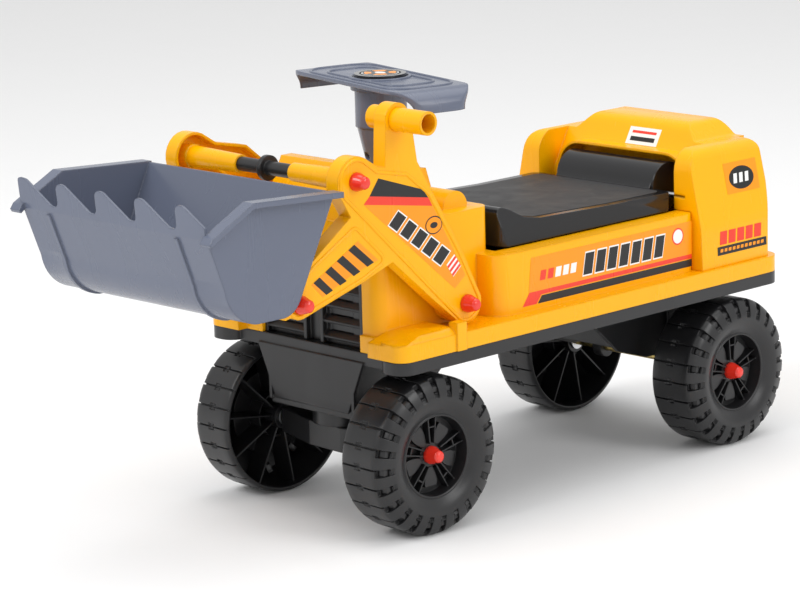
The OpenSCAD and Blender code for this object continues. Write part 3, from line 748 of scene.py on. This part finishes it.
def sheet(shape, outline, place, ink, lift=GROUND):
    """A thin printed sheet: the outline lifted off its surface, on a skirt that ends in the moulding."""
    flat = np.asarray(outline, float)
    shape.tube(np.stack([place(flat, SKIRT), place(flat, lift)]), slot=ink)


def bordered(shape, block, place, margin):
    """A black block on a white one, which is the same outline grown about its middle by the margin."""
    middle = block.mean(0)
    sheet(shape, middle + (block - middle) * margin, place, WHITE, SECOND)
    sheet(shape, block, place, BLACK, THIRD)


def across_strip(top, foot, near, far, lean=(0.0, 0.0)):
    """A band across a strip: each corner is a share of the way along the strip's top or its foot."""
    top, foot = np.array(top, float), np.array(foot, float)
    ends = [top[0] + (top[1] - top[0]) * t for t in (near, far)]
    return ends + [foot[0] + (foot[1] - foot[0]) * t for t in (far + lean[0], near + lean[1])]


def oval(middle, across, high, count=28):
    """An ellipse: its points turn once round the middle."""
    turn = np.linspace(0, 2 * math.pi, count, endpoint=False)
    return np.column_stack([middle[0] + across * np.cos(turn), middle[1] + high * np.sin(turn)])


def row_of_blocks(start, end, count, height, gap=0.28, lean=0.2):
    """Slanted blocks in a row: each is a share of the way from start to end, raised square to the row."""
    start, end = np.array(start, float), np.array(end, float)
    along = (end - start) / count
    up = np.array([-along[1], along[0]]) / np.linalg.norm(along) * height
    if up[1] < 0:
        up = -up
    lean = along / np.linalg.norm(along) * height * lean
    for i in range(count):
        low, far = start + along * i, start + along * (i + 1 - gap)
        yield np.array([low, far, far + up + lean, low + up + lean])


def arc_band(inner, outer, first, last, count=14):
    """A piece of a ring between two radii and two angles in degrees."""
    turn = np.radians(np.linspace(first, last, count))
    ring = np.column_stack([np.cos(turn), np.sin(turn)])
    return np.concatenate([ring * outer, ring[::-1] * inner])


def arm_labels(shape, side):
    """The upper arm's black, red and orange panel and the lower arm's barred panel."""
    place = on_side(ARM_FACE, side)
    sheet(shape, PANEL_TOP + BLACK_FOOT, place, BLACK)
    sheet(shape, BLACK_FOOT[::-1] + RED_FOOT, place, RED)
    sheet(shape, RED_FOOT[::-1] + ORANGE_FOOT, place, ORANGE)
    sheet(shape, oval(ARM_OVAL, 11.5, 9), place, BLACK, SECOND)
    sheet(shape, oval(ARM_OVAL, 10.3, 7.8), place, ORANGE, THIRD)
    sheet(shape, oval(ARM_OVAL, 5, 3), place, BLACK, FOURTH)
    for block in row_of_blocks((-48, 312), (24, 259), 5, 17):
        bordered(shape, block, place, 1.16)
    sheet(shape, PLATE, place, WHITE, SECOND)
    low, high, down = np.array(PLATE[0]), np.array(PLATE[1]), np.array(PLATE_DOWN)
    for k in (0.12, 0.45, 0.78):
        near, far = down * k, down * (k + 0.17)
        sheet(shape, [low + near, low + far, high + far, high + near], place, RED, THIRD)
    sheet(shape, LOWER_PANEL, place, ORANGE)
    for k in (0.04, 0.29, 0.54, 0.79):
        sheet(shape, across_strip(LOWER_TOP, LOWER_FOOT, k, k + 0.13, (0.01, 0.02)), place, BLACK, SECOND)


def sill_labels(shape, side):
    """The long panel on a sill: an orange ground, two rows of blocks, and two stripes along its foot."""
    place = on_side(SILL_FACE, side)
    sheet(shape, [(142, 214), (146, 249), (390, 249), (390, 214)], place, ORANGE)
    sheet(shape, [(133, 201), (143, 214), (390, 214), (390, 209.5), (160, 209.5), (153, 201)], place, RED)
    sheet(shape, [(155, 201), (161, 208.5), (390, 208.5), (390, 201)], place, BLACK)
    for block in row_of_blocks((222, 219), (348, 219), 7, 22):
        bordered(shape, block, place, 1.14)
    for i, block in enumerate(row_of_blocks((158, 224), (214, 224), 5, 10)):
        sheet(shape, block, place, RED if i < 2 else WHITE, SECOND)
    sheet(shape, oval((368, 236), 9, 9), place, RED, SECOND)
    sheet(shape, oval((368, 236), 7.4, 7.4), place, WHITE, THIRD)


def cab_labels(shape, side):
    """The cab's square emblem and the red blocks over a black band."""
    place = on_side(None, side)
    sheet(shape, [(446, 269), (499, 269), (499, 301), (446, 301)], place, ORANGE)
    sheet(shape, oval((472, 284), 20, 12), place, BLACK, SECOND)
    for block in row_of_blocks((458, 279), (486, 279), 3, 10, gap=0.4):
        sheet(shape, block, place, WHITE, THIRD)
    for block in row_of_blocks((424, 219), (494, 219), 5, 14, gap=0.2, lean=0.1):
        sheet(shape, block, place, RED, 0.3)
    sheet(shape, [(420, 208), (500, 208), (500, 217), (420, 217)], place, BLACK, 0.3)
    for block in row_of_blocks((424, 211), (497, 211), 11, 3.4, gap=0.35):
        sheet(shape, block, place, ORANGE, SECOND)


class DIGGER_OT_labels(bpy.types.Operator):
    """Lays the plain printed labels on the arms, sills, cab and horn button"""

    bl_idname = "digger.labels"
    bl_label = "Labels"

    def execute(self, context):
        body, arms, button = Shape(), Shape(), Shape()
        for side in (1, -1):
            sill_labels(body, side)
            cab_labels(body, side)
            arm_labels(arms, side)
        sheet(body, [(-9, 13), (35, 13), (35, 33), (-9, 33)], on_hood, WHITE)
        sheet(body, [(-4, 17), (30, 17), (30, 20), (-4, 20)], on_hood, RED, SECOND)
        sheet(body, [(-4, 24), (30, 24), (30, 29), (-4, 29)], on_hood, BLACK, SECOND)
        sheet(button, oval((0, 0), 18.6, 18.6, 48), on_button, WHITE, 0.15)
        sheet(button, oval((0, 0), 17.8, 17.8, 48), on_button, BLACK)
        for first in (20, 110, 200, 290):
            sheet(button, arc_band(9, 16, first, first + 55), on_button, ORANGE, 0.35)
        sheet(button, oval((0, 0), 6.5, 4.5), on_button, WHITE, 0.35)
        body.finish("body_labels", "frame", "white_plastic", printed_inks(), outward=True)
        arms.finish("arm_labels", "loader", "white_plastic", printed_inks(), outward=True)
        button.finish("button_label", "horn", "white_plastic", printed_inks(), outward=True)
        return {"FINISHED"}


# ---- raised rims, ridges and the seat's grained panel ---------------------------

WHEEL_TURN = math.radians(-13)
RIM_TOP = BUTTON_TOP - 4
# half across, half deep and corner radius
WHEEL_RIDGES = ((90, 38, 24), (68, 27, 16))
RIDGE_RADIUS = 1.5
# y and height of the seat's top
SEAT_TOP = ((151, 293), (167, 284), (190, 280), (300, 277), (395, 277))
PANEL_FRONT, PANEL_BACK = 158, 384
PANEL_LIFT = 0.45
PANEL_THICK = 1.4


def arc(middle, radius, first, last, count=9):
    """Points on a circle between two angles in degrees."""
    turn = np.radians(np.linspace(first, last, count))
    return [(middle[0] + radius * math.cos(a), middle[1] + radius * math.sin(a)) for a in turn]


def bead(shape, path, radius, place, sides=10):
    """A round bead along a closed flat path: a circle between the path's normal and the surface's."""
    path = np.asarray(path, float)
    inward = inset(path, 1.0) - path
    inward /= np.linalg.norm(inward, axis=1)[:, None]
    turn = np.linspace(0, 2 * math.pi, sides, endpoint=False)
    rows = [place(path + inward * radius * math.cos(a), radius * math.sin(a)) for a in turn]
    shape.grid(np.stack(rows), wrap_rows=True, wrap_columns=True)


UPPER_RIM = [
    *arc((55, 218.5), 17, -125, 12),
    *((46, 271), (7, 334), (-22, 357.5), (-62, 365.5)),
    *arc((-89, 360), 20.5, 62, 215),
]
LOWER_RIM = [
    *((-52, 279), (-92, 317), (-147, 287), (-159, 278), (-171, 269.5), (-182, 258), (-182, 250)),
    *arc((-165, 254.5), 11.5, 225, 285, 5),
    (-84, 265.5),
]


class DIGGER_OT_raised_lines(bpy.types.Operator):
    """Adds the arms' raised rims, the steering wheel's ridges and the seat's grained panel"""

    bl_idname = "digger.raised_lines"
    bl_label = "Raised lines"

    def execute(self, context):
        rims = Shape()
        for side in (1, -1):
            for path in (UPPER_RIM, LOWER_RIM):
                bead(rims, rounded(path, 6, 3), 2.0, on_side(ARM_FACE - 0.4, side))
        rims.finish("arm_rims", "loader", "body_yellow", [body_yellow()], outward=True, sharp=60)
        self.wheel_ridges()
        self.seat_panel()
        return {"FINISHED"}

    def wheel_ridges(self):
        """Two rounded rectangles on the wheel's middle, turned with it, and a ring round the button."""

        def place(flat, lift):
            x, y = turned(flat, WHEEL_TURN).T
            return np.column_stack([x, y + COLUMN_Y, np.full(len(flat), RIM_TOP + lift)])

        ridges = Shape()
        for x, y, radius in WHEEL_RIDGES:
            corners = [(-x, -y), (x, -y), (x, y), (-x, y)]
            bead(ridges, rounded(corners, radius, 8), RIDGE_RADIUS, place)
        bead(ridges, oval((0, 0), 29.5, 29.5, 48), 1.8, place)
        ridges.finish(
            "steering_wheel_ridges", "steering", "grey_plastic", [grey_plastic()], outward=True, sharp=60
        )

    def seat_panel(self):
        """A thin slab across the seat: it follows the seat's top, and its ends are rounded in plan."""
        y = np.linspace(PANEL_FRONT, PANEL_BACK, 46)
        z = np.interp(y, *np.array(SEAT_TOP, float).T) + PANEL_LIFT
        fade = np.minimum(1, np.minimum(y - (PANEL_FRONT - 2), PANEL_BACK + 2 - y) / 9)
        half = 78 + 10 * np.sqrt(np.clip(fade, 0, 1))
        foot = z - PANEL_THICK
        corners = ((-half, z), (half, z), (half, foot), (-half, foot))
        panel = Shape()
        panel.tube(np.stack([np.stack([x, y, level], 1) for x, level in corners], 1))
        panel.finish("seat_grained_panel", "seat_lid", "seat_black", [seat_grain()], outward=True)


# ---- camera, floor and light -------------------------------------------------

# name, place, target, width, height and power, in metres and watts
LIGHTS = (
    ("key_light", (-0.6, -2.6, 2.6), (0, 0, 0.2), 2.0, 1.4, 52),
    ("side_light", (2.8, 0.6, 1.8), (0, 0, 0.2), 1.2, 1.8, 26),
    ("top_light", (0.2, 0.6, 3.0), (0, 0, 0), 2.6, 2.6, 30),
)
FLOOR_HALF = 6.0
WORLD_STRENGTH = 0.8


def soft_light(name, where, target, width, height, power):
    """A rectangular area light at a place in metres, facing a target."""
    light = bpy.data.lights.new(name, "AREA")
    light.shape = "RECTANGLE"
    light.size = width
    light.size_y = height
    light.energy = power
    holder = bpy.data.objects.new(name, light)
    holder.location = where
    bpy.context.scene.collection.objects.link(holder)
    direction = np.array(target) - np.array(where)
    holder.rotation_euler = (
        math.acos(-direction[2] / np.linalg.norm(direction)),
        0,
        math.atan2(direction[1], direction[0]) - math.pi / 2,
    )


class DIGGER_OT_stage(bpy.types.Operator):
    """Makes the floor, the soft lights and the camera"""

    bl_idname = "digger.stage"
    bl_label = "Stage"

    camera_place = (2331.2, -2168.6, 906.9)
    azimuth = 45.98
    elevation = 12.31
    roll = -1.52

    def execute(self, context):
        scene = context.scene
        self.add_floor(scene)
        self.add_world(scene)
        for light in LIGHTS:
            soft_light(*light)
        self.add_camera(scene)
        scene.view_settings.view_transform = "Standard"
        return {"FINISHED"}

    def add_floor(self, scene):
        half = FLOOR_HALF
        corners = [(-half, -half, 0), (half, -half, 0), (half, half, 0), (-half, half, 0)]
        mesh = bpy.data.meshes.new("floor")
        mesh.from_pydata(corners, [], [(0, 1, 2, 3)])
        floor = bpy.data.objects.new("floor", mesh)
        scene.collection.objects.link(floor)
        mesh.materials.append(moulded("floor_paper", (0.86, 0.86, 0.86), 0.8, 0.0, tint=0.005, edge=0))

    def add_world(self, scene):
        world = bpy.data.worlds.new("studio")
        scene.world = world
        world.use_nodes = True
        background = world.node_tree.nodes["Background"]
        background.inputs["Color"].default_value = (1, 1, 1, 1)
        background.inputs["Strength"].default_value = WORLD_STRENGTH

    def add_camera(self, scene):
        """Looks along -back, which azimuth and elevation give, then is rolled about that line."""
        camera = bpy.data.cameras.new("camera")
        camera.sensor_width = 36
        camera.lens = sizes().camera_lens
        camera.clip_end = 50
        holder = bpy.data.objects.new("camera", camera)
        a, e, turn = (math.radians(v) for v in (self.azimuth, self.elevation, self.roll))
        back = np.array([math.sin(a) * math.cos(e), -math.cos(a) * math.cos(e), math.sin(e)])
        right = np.cross(-back, (0, 0, 1))
        right /= np.linalg.norm(right)
        up = np.cross(right, -back)
        rolled_right = right * math.cos(turn) + up * math.sin(turn)
        rolled_up = -right * math.sin(turn) + up * math.cos(turn)
        matrix = np.identity(4)
        matrix[:3, 0], matrix[:3, 1], matrix[:3, 2] = rolled_right, rolled_up, back
        matrix[:3, 3] = placed(self.camera_place)
        scene.collection.objects.link(holder)
        holder.matrix_world = Matrix(matrix.tolist())
        scene.camera = holder


class DIGGER_PT_panel(bpy.types.Panel):
    """Lists the steps that build the digger's looks"""

    bl_idname = "DIGGER_PT_panel"
    bl_label = "Ride on digger"
    bl_space_type = "VIEW_3D"
    bl_region_type = "UI"
    bl_category = "Digger"

    def draw(self, context):
        column = self.layout.column(align=True)
        for step in STEPS:
            column.operator(step.bl_idname)
        for owner in (context.scene.digger_sizes, context.scene.digger_colours):
            for name in owner.__annotations__:
                column.prop(owner, name)


STEPS = (
    DIGGER_OT_stage,
    DIGGER_OT_cad_finishes,
    DIGGER_OT_wheels,
    DIGGER_OT_mouldings,
    DIGGER_OT_raised_lines,
    DIGGER_OT_labels,
)
CLASSES = (DiggerSizes, DiggerColours, *STEPS, DIGGER_PT_panel)


def register():
    """Registers the classes and hangs the sizes and colours on the scene."""
    for item in CLASSES:
        bpy.utils.register_class(item)
    bpy.types.Scene.digger_sizes = bpy.props.PointerProperty(type=DiggerSizes)
    bpy.types.Scene.digger_colours = bpy.props.PointerProperty(type=DiggerColours)


def unregister():
    """Takes away what register() added."""
    del bpy.types.Scene.digger_colours
    del bpy.types.Scene.digger_sizes
    for item in reversed(CLASSES):
        bpy.utils.unregister_class(item)


def main():
    """Runs every step in order."""
    register()
    for step in STEPS:
        group, name = step.bl_idname.split(".")
        getattr(getattr(bpy.ops, group), name)()


if __name__ == "__main__":
    main()
